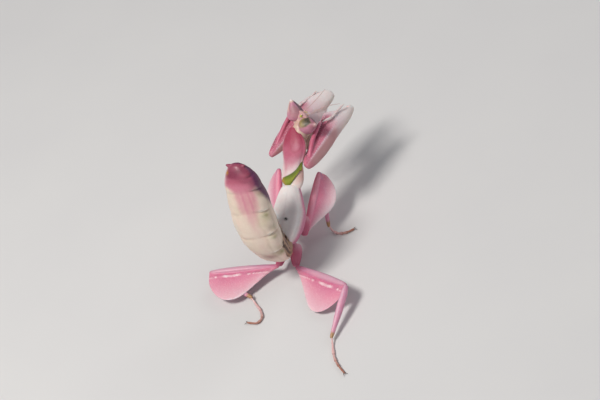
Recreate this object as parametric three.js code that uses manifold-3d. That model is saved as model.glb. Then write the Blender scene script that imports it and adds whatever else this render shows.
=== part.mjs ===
// An orchid mantis nymph, life size, standing with its abdomen curled up over its back and its
// folded forelegs swung to its right. Every sub-part is one closed solid in its own mesh.
// Millimetres and degrees. The nymph heads towards -Y, its right side is at -X, and Z = 0 is the floor.
import * as THREE from 'three';
import { mergeVertices } from 'three/addons/utils/BufferGeometryUtils.js';
import Module from 'manifold-3d';

const wasm = await Module();
wasm.setup();

// ---- Driving dimensions ----

const JOINT_GAP = 0.1;
const FLOOR_DEPTH = 4;

// Trunk: dorsal lines, measured along the back.
const BACK_HEIGHT = 6.02;
const THORAX_PITCH = 28;
const THORAX_LENGTH = 7.78;
const THORAX_DEPTH = { rear: 1.9, front: 1.3 };
const THORAX_WAIST = 0.5;
const PROTHORAX_LENGTH = 7.4;
const PROTHORAX_ATTITUDE = { azimuth: -12, elevation: 48, roll: 0 };
const PROTHORAX_DEPTH = 0.9;
const PROTHORAX_BEND = 0.95;
const NECK_RADIUS = 1;

// Head: its centre lies this far ahead of the prothorax, to its right and above.
const HEAD_ATTITUDE = { azimuth: -27.6, elevation: -11.3, roll: 25 };
const HEAD_FROM_PROTHORAX = { ahead: 1.58, right: -0.08, up: -1.6 };
const HEAD_HEIGHT = 4.1;
const HEAD_RISE = 0.75;
const EYE_SPREAD = 0.7;
const EYE_LENGTH = 3.1;
const EYE_DROP = 1.4;
const EYE_TILT = 37;
const EYE_RADIUS = 1.22;
const ANTENNA_LENGTH = 5;
const ANTENNA_RADIUS = 0.26;

// Abdomen: a curl that leaves the thorax backwards and then stands up.
const ABDOMEN_HALF_WIDTH = 2.95;
const ABDOMEN_HALF_DEPTH = 2.1;
const ABDOMEN_SEGMENTS = 6;
const CERCUS_LENGTH = 1;

// Legs. Azimuth 0 points ahead and +90 to the nymph's left; elevation is above the horizon.
const FORELEG = { coxa: 8.65, femur: 10.3, tibia: 6.2, tarsus: 4.6 };
const FORETIBIA_BOW = 0.2;
const MIDLEG = { femur: 9.6, tibia: 7.6, tarsus: 3.9, lobe: 3.3 };
const HINDLEG = { femur: 9.8, tibia: 7.6, tarsus: 6.3, lobe: 4.95 };
const LOBE_THICKNESS = 0.54;
const TARSUS_RADIUS = 0.28;
const FOOT_HEIGHT = 0.24;
const TARSOMERE_SHARES = [0.42, 0.2, 0.14, 0.24];

const FORELEG_STANCE = {
  right: {
    coxa: [-23, -6.4],
    femur: [166.6, 0.5],
    tibia: [-6.3, 23],
    tarsus: [[-28, -22], [-13, -10], [-12, -1], [-27, 5]],
    palm: [85.6, 49.1],
    blade: [0.95, 1.1, 1.7, 2.25, 2, 1.8, 1.7, 1.6, 1.45, 1.35, 1.15],
    spine: [0.9, 1, 1, 0.95, 0.95, 1, 1.1, 1.15, 1.15, 1.1, 1],
    base: 1,
  },
  left: {
    coxa: [-9.1, 0.9],
    femur: [150.2, -7.4],
    tibia: [-18.9, 27.7],
    tarsus: [[-31, 0], [-31, -4], [-30, 0], [-36, 9]],
    palm: [77.5, 52.4],
    blade: [1.5, 1.95, 1.85, 1.55, 1.35, 1.1, 0.75],
    spine: [1, 1.1, 1.1, 1, 0.9, 0.8, 0.6],
    base: 1.5,
  },
};
// `drop` lowers the tibia's start under the femur, so that the lobe passes over it.
const WALKING_STANCE = {
  midleg_right: {
    femur: [1.2, 16.4],
    lobe: [-65.4, -37.5],
    drop: 0,
    tibia: [-164.5, -48.5],
    tarsus: [-112, -80, -66, -50],
  },
  midleg_left: {
    femur: [12.2, 22.6],
    lobe: [72, -28],
    drop: 0,
    tibia: [127, -62.5],
    tarsus: [108, 100, 92, 80],
  },
  hindleg_right: {
    femur: [-112.6, 6.9],
    lobe: [160.3, -22.6],
    drop: 0,
    tibia: [176.6, -16.6],
    tarsus: [-156, -146, -138, -133],
  },
  hindleg_left: {
    femur: [103, 2.3],
    lobe: [-167.5, -8],
    drop: 0.5,
    tibia: [-111.7, -6.3],
    tarsus: [-136, -156, -205, -268],
  },
};

const COLOURS = {
  petal: '#e58fb2',
  blush: '#efc3d0',
  ivory: '#eee6dc',
  rose: '#c9587a',
  tip: '#8e3660',
  eye: '#8f8a86',
  foot: '#b98a72',
};

// ---- Directions and profiles ----

const degrees = THREE.MathUtils.degToRad;

function direction(azimuth, elevation) {
  const level = Math.cos(degrees(elevation));
  return new THREE.Vector3(
    level * Math.sin(degrees(azimuth)),
    -level * Math.cos(degrees(azimuth)),
    Math.sin(degrees(elevation)),
  );
}

// The three axes of a body part that looks along an azimuth and elevation and leans to its right by roll.
function axesOf({ azimuth, elevation, roll }) {
  const ahead = direction(azimuth, elevation);
  const up = direction(azimuth, elevation + 90).applyAxisAngle(ahead, degrees(roll));
  return { ahead, up, right: ahead.clone().cross(up) };
}

function offset(origin, axes, { ahead = 0, right = 0, up = 0 }) {
  return origin.clone()
    .addScaledVector(axes.ahead, ahead)
    .addScaledVector(axes.right, right)
    .addScaledVector(axes.up, up);
}

// A smooth profile through values spaced evenly from station 0 to station 1.
function profile(...values) {
  const spline = new THREE.SplineCurve(values.map((value, i) => new THREE.Vector2(i, value)));
  return (station) => spline.getPoint(THREE.MathUtils.clamp(station, 0, 1)).y;
}

// A straight length from a joint along an aim, run on past both joints for its round ends.
function straight(start, aim, length, before = 0, beyond = 0) {
  const from = start.clone().addScaledVector(aim, -before);
  return new THREE.LineCurve3(from, start.clone().addScaledVector(aim, length + beyond));
}

// ---- Solids ----

function solidOf(geometry) {
  const bare = geometry.clone();
  bare.deleteAttribute('normal');
  bare.deleteAttribute('uv');
  const welded = mergeVertices(bare, 1e-5);
  const mesh = new wasm.Mesh({
    numProp: 3,
    vertProperties: new Float32Array(welded.attributes.position.array),
    triVerts: new Uint32Array(welded.index.array),
  });
  return new wasm.Manifold(mesh);
}

// Lays a sphere, or a capped cylinder between two stations, along a path. Station 0 is the path's
// start. `side` is the direction in which the section is `ahead` and `behind` wide, and the section
// is `above` and `below` thick across it. `boxy` under 1 squares the section, `blunt` under 1 the ends.
function laidAlong(shape, grow) {
  const { path, side, section, around = 12, along = 10, cut, boxy = 1, blunt = 0.5 } = shape;
  const geometry = cut
    ? new THREE.CylinderGeometry(1, 1, 2, around, along)
    : new THREE.SphereGeometry(1, around, along);
  const position = geometry.attributes.position;
  const [first, last] = cut ?? [0, 1];
  const point = new THREE.Vector3();
  for (let i = 0; i < position.count; i += 1) {
    point.fromBufferAttribute(position, i);
    const sweep = (1 - point.y) / 2;
    const station = first + (last - first) * sweep;
    const ring = Math.hypot(point.x, point.z);
    const scale = cut ? 1 : Math.pow(ring, blunt);
    const across = ring > 1e-6 ? Math.sign(point.x) * Math.pow(Math.abs(point.x / ring), boxy) : 0;
    const over = ring > 1e-6 ? Math.sign(point.z) * Math.pow(Math.abs(point.z / ring), boxy) : 0;
    const centre = path.getPointAt(station);
    const tangent = path.getTangentAt(station);
    const wide = side.clone().addScaledVector(tangent, -side.dot(tangent)).normalize();
    const thick = tangent.clone().cross(wide);
    const { ahead, behind, above, below } = section(station);
    const width = across > 0 ? ahead : behind;
    const depth = over > 0 ? above : below;
    const end = Math.abs(point.y) > 1 - 1e-6 ? -Math.sign(point.y) : 0;
    point.copy(centre)
      .addScaledVector(tangent, end * grow)
      .addScaledVector(wide, across * (width * scale + grow))
      .addScaledVector(thick, over * (depth * scale + grow));
    position.setXYZ(i, point.x, point.y, point.z);
  }
  return solidOf(geometry);
}

function solidFrom(shapes, grow = 0) {
  return shapes.map((shape) => laidAlong(shape, grow)).reduce((whole, part) => whole.add(part));
}

// The pieces laid so far. Each new one gives way to those, by a thin gap at every joint.
const laid = [];

function touches(a, b) {
  const [p, q] = [a.boundingBox(), b.boundingBox()];
  return [0, 1, 2].every((axis) => p.min[axis] < q.max[axis] && q.min[axis] < p.max[axis]);
}

function add(name, shapes, colour, roughness, onFloor = false) {
  let solid = solidFrom(shapes);
  const grown = solidFrom(shapes, JOINT_GAP);
  for (const other of laid) {
    if (touches(solid, other.grown)) {
      solid = solid.subtract(other.grown);
    }
  }
  if (onFloor) {
    solid = solid.subtract(floorBlock);
  }
  laid.push({ name, solid, grown, colour, roughness });
}

const floorBlock = solidOf(new THREE.BoxGeometry(100, 100, FLOOR_DEPTH).translate(0, 0, -FLOOR_DEPTH / 2));

function round(radius) {
  return (station) => {
    const r = radius(station);
    return { ahead: r, behind: r, above: r, below: r };
  };
}

// ---- Trunk frames ----

const thorax = axesOf({ azimuth: 0, elevation: THORAX_PITCH, roll: 0 });
const backRear = new THREE.Vector3(0, 0, BACK_HEIGHT);
const backFront = offset(backRear, thorax, { ahead: THORAX_LENGTH });
const prothorax = axesOf(PROTHORAX_ATTITUDE);
const shieldFront = offset(backFront, prothorax, { ahead: PROTHORAX_LENGTH });
const head = axesOf(HEAD_ATTITUDE);
const headCentre = offset(shieldFront, prothorax, HEAD_FROM_PROTHORAX);

// ---- Head ----

function addEye(name, sign) {
  const cone = profile(0.92, 1, 0.93, 0.78, 0.6, 0.4, 0.2);
  const aim = head.right.clone().multiplyScalar(sign * Math.sin(degrees(EYE_TILT)))
    .addScaledVector(head.up, Math.cos(degrees(EYE_TILT)));
  const start = offset(headCentre, head, { right: sign * EYE_SPREAD, up: -EYE_DROP });
  add(name, [{
    path: straight(start, aim, EYE_LENGTH),
    side: head.ahead,
    section: round((s) => EYE_RADIUS * cone(s)),
    around: 14,
    along: 9,
  }], COLOURS.eye, 0.2);
}

function addHead() {
  const halfWidth = profile(1.3, 1.85, 1.75, 1.3, 0.95, 0.7, 0.55);
  const halfDepth = profile(0.62, 0.85, 0.9, 0.82, 0.7, 0.58, 0.4);
  const crown = offset(headCentre, head, { up: HEAD_RISE });
  const down = head.up.clone().negate();
  add('head', [{
    path: straight(crown, down, HEAD_HEIGHT),
    side: head.right,
    section: (s) => ({ ahead: halfWidth(s), behind: halfWidth(s), above: halfDepth(s), below: halfDepth(s) }),
    around: 16,
    along: 10,
  }], COLOURS.blush, 0.5);
}

function addAntenna(name, sign) {
  const root = offset(headCentre, head, { ahead: 0.75, right: sign * 0.42, up: 0.25 });
  const aside = sign * ANTENNA_LENGTH;
  const middle = offset(root, head, { ahead: ANTENNA_LENGTH * 0.5, right: aside * 0.08, up: 0.35 });
  const tip = offset(root, head, { ahead: ANTENNA_LENGTH * 0.95, right: aside * 0.22, up: 0.1 });
  add(name, [{
    path: new THREE.CatmullRomCurve3([root, middle, tip]),
    side: head.up,
    section: round(() => ANTENNA_RADIUS),
    around: 6,
    along: 8,
  }], COLOURS.foot, 0.6);
}

function addNeck() {
  const start = offset(shieldFront, prothorax, { ahead: -1.5, right: 0.15, up: -1.5 });
  const end = offset(headCentre, head, { ahead: -0.2, up: -0.75 });
  add('neck', [{
    path: new THREE.LineCurve3(start, end),
    side: prothorax.right,
    section: round(() => NECK_RADIUS),
    around: 10,
    along: 6,
  }], COLOURS.ivory, 0.6);
}

// ---- Trunk ----

function addProthorax() {
  const right = profile(1.6, 1.5, 1.28, 1.4, 1.62, 1.78, 1.7, 1.35, 0.8);
  const left = profile(1.95, 1.95, 1.75, 1.65, 1.7, 1.78, 1.7, 1.35, 0.8);
  const rise = profile(0.8, 0.75, 0.75, 0.85, 0.95, 0.95, 0.9, 0.7, 0.4);
  const drop = profile(0.7, 0.85, 1, 1.15, 1.3, 1.35, 1.2, 0.9, 0.5);
  const rear = offset(backFront, prothorax, { ahead: -0.35, up: -PROTHORAX_DEPTH });
  const waist = offset(rear, prothorax, { ahead: 0.55 * PROTHORAX_LENGTH, right: -0.12 });
  const front = offset(shieldFront, prothorax, { right: -PROTHORAX_BEND, up: -PROTHORAX_DEPTH });
  add('prothorax', [{
    path: new THREE.CatmullRomCurve3([rear, waist, front]),
    side: prothorax.right,
    section: (s) => ({ ahead: right(s), behind: left(s), above: drop(s), below: rise(s) }),
    around: 16,
    along: 14,
    blunt: 0.4,
  }], COLOURS.rose, 0.5);
}

// The mesothorax and metathorax are one shape, parted across by a thin gap.
function addThorax() {
  const rear = offset(backRear, thorax, { up: -THORAX_DEPTH.rear });
  const front = offset(backFront, thorax, { up: -THORAX_DEPTH.front });
  const path = new THREE.LineCurve3(rear, front);
  const halfWidth = profile(1.7, 2.15, 2.3, 1.8, 1.2);
  const rise = profile(THORAX_DEPTH.rear, THORAX_DEPTH.front);
  const drop = profile(1.4, 1.75, 1.8, 1.5, 1.2);
  const section = (s) => ({ ahead: halfWidth(s), behind: halfWidth(s), above: drop(s), below: rise(s) });
  const common = { path, side: thorax.right, section, around: 16, along: 4, boxy: 0.9 };
  const parting = JOINT_GAP / 2 / path.getLength();
  add('mesothorax', [{ ...common, cut: [THORAX_WAIST + parting, 1] }], COLOURS.ivory, 0.5);
  add('metathorax', [{ ...common, cut: [0, THORAX_WAIST - parting] }], COLOURS.ivory, 0.5);
}

const abdomenPath = new THREE.CatmullRomCurve3([
  offset(backRear, thorax, { up: -1.75, ahead: 0.1 }),
  new THREE.Vector3(0.05, 1.15, 5),
  new THREE.Vector3(0.3, 2.4, 8),
  new THREE.Vector3(0.7, 2.35, 12),
  new THREE.Vector3(1, 1.3, 16),
  new THREE.Vector3(1.55, 0.25, 20.75),
]);
const abdomenWidth = profile(0.52, 0.68, 0.85, 0.97, 1, 0.99, 0.95, 0.86, 0.7);
const abdomenEnd = { from: 0.88, closing: 0.8 };
const abdomenDepth = profile(0.6, 0.72, 0.88, 0.98, 1, 0.98, 0.92, 0.82, 0.64);

// Closes the last stations of the abdomen into a blunt tip.
function taper(station) {
  const past = Math.max(0, (station - abdomenEnd.from) / (1 - abdomenEnd.from));
  return Math.sqrt(1 - abdomenEnd.closing * past * past);
}

function addAbdomen() {
  const parting = JOINT_GAP / 2 / abdomenPath.getLength();
  const starts = Array.from({ length: ABDOMEN_SEGMENTS + 1 }, (_, i) => i / ABDOMEN_SEGMENTS);
  for (let i = 0; i < ABDOMEN_SEGMENTS; i += 1) {
    const isTip = i === ABDOMEN_SEGMENTS - 1;
    const [first, last] = [starts[i] + (i > 0 ? parting : 0), starts[i + 1] - (isTip ? 0 : parting)];
    const swell = (s) => 0.97 + 0.03 * Math.sin(Math.PI * (s * ABDOMEN_SEGMENTS - i));
    add(`abdomen_${i + 1}`, [{
      path: abdomenPath,
      side: thorax.right,
      section: (s) => {
        const wide = ABDOMEN_HALF_WIDTH * abdomenWidth(s) * swell(s) * taper(s);
        const deep = ABDOMEN_HALF_DEPTH * abdomenDepth(s) * swell(s) * taper(s);
        return { ahead: wide, behind: wide, above: deep, below: deep };
      },
      around: 18,
      along: isTip ? 6 : 4,
      cut: [first, last],
      boxy: 0.92,
    }], isTip ? COLOURS.tip : COLOURS.ivory, 0.45);
  }
}

function addCercus(name, sign) {
  const end = abdomenPath.getPointAt(1);
  const tangent = abdomenPath.getTangentAt(1);
  const aim = tangent.clone().multiplyScalar(0.3).addScaledVector(thorax.right, sign).normalize();
  const start = end.clone().addScaledVector(tangent, -0.45).addScaledVector(thorax.right, sign * 0.95);
  add(name, [{
    path: straight(start, aim, CERCUS_LENGTH),
    side: thorax.right,
    section: round(profile(0.34, 0.36, 0.26)),
    around: 8,
    along: 6,
  }], COLOURS.tip, 0.5);
}

// ---- Forelegs ----

function addForeleg(side) {
  const stance = FORELEG_STANCE[side];
  const sign = side === 'right' ? 1 : -1;
  const name = `foreleg_${side}`;
  const palm = direction(...stance.palm);
  const root = offset(shieldFront, prothorax, { ahead: -0.34 * PROTHORAX_LENGTH, right: sign * 0.7, up: -2 });
  const coxa = straight(root, direction(...stance.coxa), FORELEG.coxa);
  const femurAim = direction(...stance.femur);
  const femur = straight(coxa.v2, femurAim, FORELEG.femur, stance.base, 0.65);
  const knee = coxa.v2.clone().addScaledVector(femurAim, FORELEG.femur);
  const tibiaAim = direction(...stance.tibia);
  const tibiaEnd = knee.clone().addScaledVector(tibiaAim, FORELEG.tibia);
  const tibiaMiddle = knee.clone().lerp(tibiaEnd, 0.5).addScaledVector(palm, FORETIBIA_BOW);
  const tibia = new THREE.CatmullRomCurve3([
    knee.clone().addScaledVector(tibiaAim, -0.1),
    tibiaMiddle,
    tibiaEnd,
  ]);

  const blade = profile(...stance.blade);
  const spine = profile(...stance.spine);
  const half = profile(0.75, 0.85, 0.85, 0.8, 0.75, 0.7, 0.65);
  add(`${name}_femur`, [{
    path: femur,
    side: palm,
    section: (s) => ({ ahead: blade(s), behind: spine(s), above: half(s), below: half(s) }),
    along: 12,
  }], COLOURS.petal, 0.45);

  add(`${name}_tibia`, [{
    path: tibia,
    side: palm,
    section: round(profile(0.52, 0.44, 0.38, 0.36, 0.32)),
    around: 8,
    along: 8,
  }], COLOURS.rose, 0.45);

  const points = [tibia.getPointAt(0.97)];
  stance.tarsus.forEach((aim, i) => {
    points.push(points[i].clone().addScaledVector(direction(...aim), FORELEG.tarsus * TARSOMERE_SHARES[i]));
  });
  add(`${name}_tarsus`, [{
    path: new THREE.CatmullRomCurve3(points),
    side: palm,
    section: round(() => TARSUS_RADIUS),
    around: 6,
    along: 9,
  }], COLOURS.foot, 0.6);

  const wide = profile(0.85, 1, 1.2, 1.35, 1.35, 1.1);
  add(`${name}_coxa`, [{
    path: coxa,
    side: palm,
    section: (s) => ({ ahead: wide(s), behind: wide(s), above: 0.75, below: 0.75 }),
    around: 10,
    along: 9,
  }], COLOURS.blush, 0.5);
}

// ---- Walking legs ----

const LOBE_OUTLINE = profile(0.1, 0.22, 0.41, 0.63, 0.84, 0.97, 1, 0.92, 0.72);

function addWalkingLeg(name, sizes, socket, hip) {
  const stance = WALKING_STANCE[name];
  const femur = straight(hip, direction(...stance.femur), sizes.femur);
  const kneePoint = femur.v2.clone().setZ(femur.v2.z - stance.drop);
  const tibia = straight(kneePoint, direction(...stance.tibia), sizes.tibia);
  const lobeSide = direction(...stance.lobe);

  add(`${name}_coxa`, [{
    path: new THREE.LineCurve3(socket, hip),
    side: thorax.right,
    section: round(profile(0.8, 0.75, 0.62)),
    around: 9,
    along: 7,
    blunt: 0.4,
  }], COLOURS.petal, 0.5);

  const ridge = {
    path: femur,
    side: lobeSide,
    section: round(profile(0.42, 0.46, 0.5, 0.5, 0.48)),
    around: 8,
    along: 8,
  };
  const lobe = {
    path: femur,
    side: lobeSide,
    section: (s) => ({
      ahead: sizes.lobe * LOBE_OUTLINE(s),
      behind: 0.4,
      above: LOBE_THICKNESS / 2,
      below: LOBE_THICKNESS / 2,
    }),
    around: 12,
    along: 12,
    boxy: 0.7,
    blunt: 0.45,
  };
  add(`${name}_femur`, [ridge, lobe], COLOURS.petal, 0.45);

  add(`${name}_tibia`, [{
    path: tibia,
    side: lobeSide,
    section: round(profile(0.55, 0.54, 0.5, 0.44, 0.36)),
    around: 7,
    along: 7,
  }], COLOURS.petal, 0.5);

  const ankle = tibia.v2;
  const points = [ankle.clone().addScaledVector(direction(...stance.tibia), -0.3)];
  let toe = new THREE.Vector3(ankle.x, ankle.y, FOOT_HEIGHT);
  stance.tarsus.forEach((azimuth, i) => {
    const reach = sizes.tarsus * TARSOMERE_SHARES[i];
    const previous = toe;
    toe = toe.clone().addScaledVector(direction(azimuth, 0), reach);
    if (i === 0) {
      points.push(previous.clone().lerp(toe, 0.35));
    }
    points.push(toe);
  });
  add(`${name}_tarsus`, [{
    path: new THREE.CatmullRomCurve3(points),
    side: new THREE.Vector3(0, 0, 1),
    section: round(() => TARSUS_RADIUS),
    around: 7,
    along: 10,
  }], COLOURS.foot, 0.6, true);
}

// ---- The whole nymph ----

addEye('eye_right', 1);
addEye('eye_left', -1);
addHead();
addAntenna('antenna_right', 1);
addAntenna('antenna_left', -1);
addProthorax();
addNeck();
addThorax();
addForeleg('right');
addForeleg('left');

for (const [side, sign] of [['right', -1], ['left', 1]]) {
  const midSocket = new THREE.Vector3(sign * 1.35, -5, 5.3);
  const midHip = new THREE.Vector3(sign * 1.92, -2.95, 3.71);
  const hindSocket = new THREE.Vector3(sign * 0.9, -1.7, 3.4);
  const hindHip = new THREE.Vector3(sign * 1.26, 0.88, 1.68);
  addWalkingLeg(`midleg_${side}`, MIDLEG, midSocket, midHip);
  addWalkingLeg(`hindleg_${side}`, HINDLEG, hindSocket, hindHip);
}
addAbdomen();
addCercus('cercus_right', 1);
addCercus('cercus_left', -1);

const nymph = new THREE.Group();
for (const { name, solid, colour, roughness } of laid) {
  const { numProp, vertProperties, triVerts } = solid.getMesh();
  const geometry = new THREE.BufferGeometry();
  const interleaved = new THREE.InterleavedBuffer(vertProperties, numProp);
  geometry.setAttribute('position', new THREE.InterleavedBufferAttribute(interleaved, 3, 0));
  geometry.setIndex(new THREE.BufferAttribute(triVerts, 1));
  geometry.computeVertexNormals();
  const material = new THREE.MeshStandardMaterial({ color: colour, roughness, metalness: 0 });
  const mesh = new THREE.Mesh(geometry, material);
  mesh.name = name;
  nymph.add(mesh);
}

// The origin is the middle of the footprint, on the floor.
const bounds = new THREE.Box3().setFromObject(nymph);
const middle = bounds.getCenter(new THREE.Vector3());
nymph.position.set(-middle.x, -middle.y, -bounds.min.z);

const model = new THREE.Group();
model.add(nymph);

export default model;
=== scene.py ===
import math
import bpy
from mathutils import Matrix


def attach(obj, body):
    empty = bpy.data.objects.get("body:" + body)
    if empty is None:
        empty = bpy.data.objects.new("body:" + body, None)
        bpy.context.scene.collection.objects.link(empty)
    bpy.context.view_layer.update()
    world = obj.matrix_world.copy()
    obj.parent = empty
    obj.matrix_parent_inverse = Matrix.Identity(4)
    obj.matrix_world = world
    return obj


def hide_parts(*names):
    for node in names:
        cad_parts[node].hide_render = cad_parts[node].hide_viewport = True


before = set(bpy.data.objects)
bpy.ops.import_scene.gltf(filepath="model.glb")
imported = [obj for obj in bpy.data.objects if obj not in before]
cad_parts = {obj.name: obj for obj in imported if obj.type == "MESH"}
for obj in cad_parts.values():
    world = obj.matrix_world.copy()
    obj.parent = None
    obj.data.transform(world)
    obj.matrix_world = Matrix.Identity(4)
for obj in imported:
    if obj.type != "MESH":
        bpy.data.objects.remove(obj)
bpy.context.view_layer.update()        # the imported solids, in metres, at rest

from types import SimpleNamespace

import bpy
import numpy as np
from mathutils import Matrix, Vector

mm = 0.001
middle = np.array((1.2428, 2.2547, 0))  # from the insect's own middle to the part's origin, in mm
print("frame loaded:", len(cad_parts), "nodes")


# directions, paths and profiles; everything is modelled in millimetres and settled into metres at the end

def direction(azimuth, elevation):
    a, e = math.radians(azimuth), math.radians(elevation)
    return np.array((math.cos(e) * math.sin(a), -math.cos(e) * math.cos(a), math.sin(e)))


def axesOf(azimuth, elevation, roll=0):
    ahead = direction(azimuth, elevation)
    up = direction(azimuth, elevation + 90)
    lean = math.radians(roll)
    up = up * math.cos(lean) + np.cross(ahead, up) * math.sin(lean)
    return {"ahead": ahead, "up": up, "right": np.cross(ahead, up)}


def offset(origin, axes, ahead=0, right=0, up=0):
    return origin + axes["ahead"] * ahead + axes["right"] * right + axes["up"] * up


def unit(v):
    return v / np.linalg.norm(v, axis=-1, keepdims=True)


def profile(*values):
    values = np.array(values, float)
    last = len(values) - 1

    def at(station):
        t = np.clip(np.asarray(station, float), 0, 1) * last
        i = np.minimum(t.astype(int), last - 1)
        f = t - i
        a, b, c, d = (values[np.clip(i + k, 0, last)] for k in (-1, 0, 1, 2))
        m, n = (c - a) / 2, (d - b) / 2
        return (2 * b - 2 * c + m + n) * f ** 3 + (-3 * b + 3 * c - 2 * m - n) * f ** 2 + m * f + b
    return at


def straightPath(start, aim, length, before=0, beyond=0):
    return np.linspace(start - aim * before, start + aim * (length + beyond), 60)


def curvedPath(*points):
    p = [2 * points[0] - points[1], *points, 2 * points[-1] - points[-2]]
    drawn = []
    for a, b, c, d in zip(p, p[1:], p[2:], p[3:]):
        ta, tb, tc = (max(np.linalg.norm(v) ** 0.5, 1e-6) for v in (b - a, c - b, d - c))
        m = ((b - a) / ta - (c - a) / (ta + tb) + (c - b) / tb) * tb
        n = ((c - b) / tb - (d - b) / (tb + tc) + (d - c) / tc) * tb
        for f in np.linspace(0, 1, 40, endpoint=False):
            drawn.append((2 * b - 2 * c + m + n) * f ** 3 + (-3 * b + 3 * c - 2 * m - n) * f ** 2 + m * f + b)
    drawn = np.array([*drawn, points[-1]])
    run = np.concatenate(([0], np.cumsum(np.linalg.norm(np.diff(drawn, axis=0), axis=1))))
    even = np.linspace(0, run[-1], 200)
    return np.stack([np.interp(even, run, drawn[:, k]) for k in range(3)], axis=1)


def framesAlong(path, side, station):
    slope = unit(np.gradient(path, axis=0))
    even = np.linspace(0, 1, len(path))
    centre = np.stack([np.interp(station, even, path[:, k]) for k in range(3)], axis=1)
    tangent = unit(np.stack([np.interp(station, even, slope[:, k]) for k in range(3)], axis=1))
    wide = unit(side - tangent * (tangent @ side)[:, None])
    return centre, wide, np.cross(tangent, wide)


def frameAt(path, side, station):
    return (given[0] for given in framesAlong(path, side, np.array((station,))))


# colour helpers; a colour is given as the eye sees it and kept linear

def linear(hexColour):
    parts = np.array([int(hexColour[i:i + 2], 16) / 255 for i in (1, 3, 5)])
    return np.where(parts < 0.04045, parts / 12.92, ((parts + 0.055) / 1.055) ** 2.4)


def soft(value, low, high):
    t = np.clip((value - low) / (high - low), 0, 1)
    return t * t * (3 - 2 * t)


def between(value, low, rise, fall, high):
    return soft(value, low, rise) * (1 - soft(value, fall, high))


def hump(value, centre, width):
    return np.exp(-((value - centre) / width) ** 2)


def around(angle, centre):
    return (angle - centre + 180) % 360 - 180


# a band that runs lengthwise at an angle round the tube
def lengthwise(angle, centre, width):
    return hump(around(angle, centre), 0, width)


# how far each point lies from a place on a tube, with the tube's length and radius there
def away(spot, turn, station, angle, length, radius=1.0):
    return np.hypot((spot.s - station) * length, np.radians(turn - angle) * radius)


# where a station lies within its own segment, from 0 to 1
def within(station, edges):
    edges = np.array(edges)
    i = np.clip(np.searchsorted(edges, station, side="right") - 1, 0, len(edges) - 2)
    return (station - edges[i]) / (edges[i + 1] - edges[i])


# a palette's base colour with coats of its other colours, each as strong as its mask
def washed(palette, spot, base, *coats):
    shade = np.tile(linear(palette[base]), (len(spot.s), 1))
    for colour, mask in coats:
        shade = shade + (linear(palette[colour]) - shade) * np.clip(mask, 0, 1)[:, None]
    return shade


# pieces

def deselect():
    if bpy.context.object and bpy.context.object.mode == "EDIT":
        bpy.ops.object.mode_set(mode="OBJECT")
    bpy.ops.object.select_all(action="DESELECT")


# a cross-section's half sizes: each a number, a value for each point, or a profile along the tube
def oval(ahead, above, behind=None, below=None, boxy=1.0):
    sizes = (ahead, ahead if behind is None else behind, above, above if below is None else below)

    def section(spot):
        a, b, c, d = (size(spot.s) if callable(size) else size for size in sizes)
        across = np.sign(spot.side) * np.abs(spot.side) ** boxy
        over = np.sign(spot.over) * np.abs(spot.over) ** boxy
        return across * np.where(across > 0, a, b), over * np.where(over > 0, c, d)
    return section


def roundTube(*radii):
    return oval(profile(*radii), profile(*radii))


# the painted colour of each point, with the share of granules in its alpha
def tinted(piece, colours):
    layer = piece.data.color_attributes.new("tint", "FLOAT_COLOR", "POINT")
    layer.data.foreach_set("color", np.broadcast_to(colours, (len(piece.data.vertices), 4)).ravel())


# a sphere primitive drawn out along a path, its poles at the two ends, and painted on its own lines
def layTube(name, path, side, section, paint, rings=48, segments=40, blunt=0.5, slip=None):
    deselect()
    bpy.ops.mesh.primitive_uv_sphere_add(segments=segments, ring_count=rings, radius=1)
    piece = bpy.context.object
    piece.name = name
    co = np.empty(len(piece.data.vertices) * 3)
    piece.data.vertices.foreach_get("co", co)
    x, y, z = co.reshape(-1, 3).T
    ring = np.hypot(x, y)
    spot = SimpleNamespace(s=(1 + z) / 2, side=x / np.maximum(ring, 1e-6), over=y / np.maximum(ring, 1e-6))
    spot.angle = np.degrees(np.arctan2(spot.over, spot.side))
    spot.turn = around(spot.angle, -90)  # from the middle of the back, on a piece of the trunk
    across, above = section(spot)
    closing = ring ** blunt
    spot.across, spot.above = across * closing, above * closing
    centre, wide, thick = framesAlong(path, side, spot.s)
    spot.place = centre + wide * spot.across[:, None] + thick * spot.above[:, None]
    if slip:
        spot.place += np.cross(wide, thick) * slip(spot)[:, None]
    piece.data.vertices.foreach_set("co", spot.place.ravel())
    shade, grain = paint(spot)
    tinted(piece, np.column_stack((shade, grain + 0 * spot.s)))
    piece.data.update()
    return piece


def chosen(piece):
    deselect()
    piece.select_set(True)
    bpy.context.view_layer.objects.active = piece


def joined(name, parts):
    chosen(parts[0])
    for part in parts:
        part.select_set(True)
    bpy.ops.object.join()
    parts[0].name = name
    return parts[0]


def applied(piece, kind, **settings):
    chosen(piece)
    change = piece.modifiers.new("change", kind)
    for label, value in settings.items():
        setattr(change, label, value)
    bpy.ops.object.modifier_apply(modifier="change")


# smooth-shaded, and from millimetres round the insect's middle to metres in the part's own frame
def settle(piece, slotName, material, *nodes):
    chosen(piece)
    bpy.ops.object.shade_smooth()
    piece.data.transform(Matrix.Diagonal((mm, mm, mm, 1)) @ Matrix.Translation(middle.tolist()))
    piece.data.update()
    piece.data.materials.clear()
    piece.data.materials.append(material)
    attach(piece, "root")
    if nodes:
        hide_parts(*nodes)


# materials

def setSockets(node, values):
    for label, value in values.items():
        node.inputs[label].default_value = value


def addNode(tree, kind, sockets=None, **settings):
    node = tree.nodes.new("ShaderNode" + kind)
    for label, value in settings.items():
        setattr(node, label, value)
    setSockets(node, sockets or {})
    return node


# each run is a node and its output, then the node and the input that it feeds
def wire(tree, *runs):
    for source, outlet, target, inlet in runs:
        tree.links.new(source.outputs[outlet], target.inputs[inlet])


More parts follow.
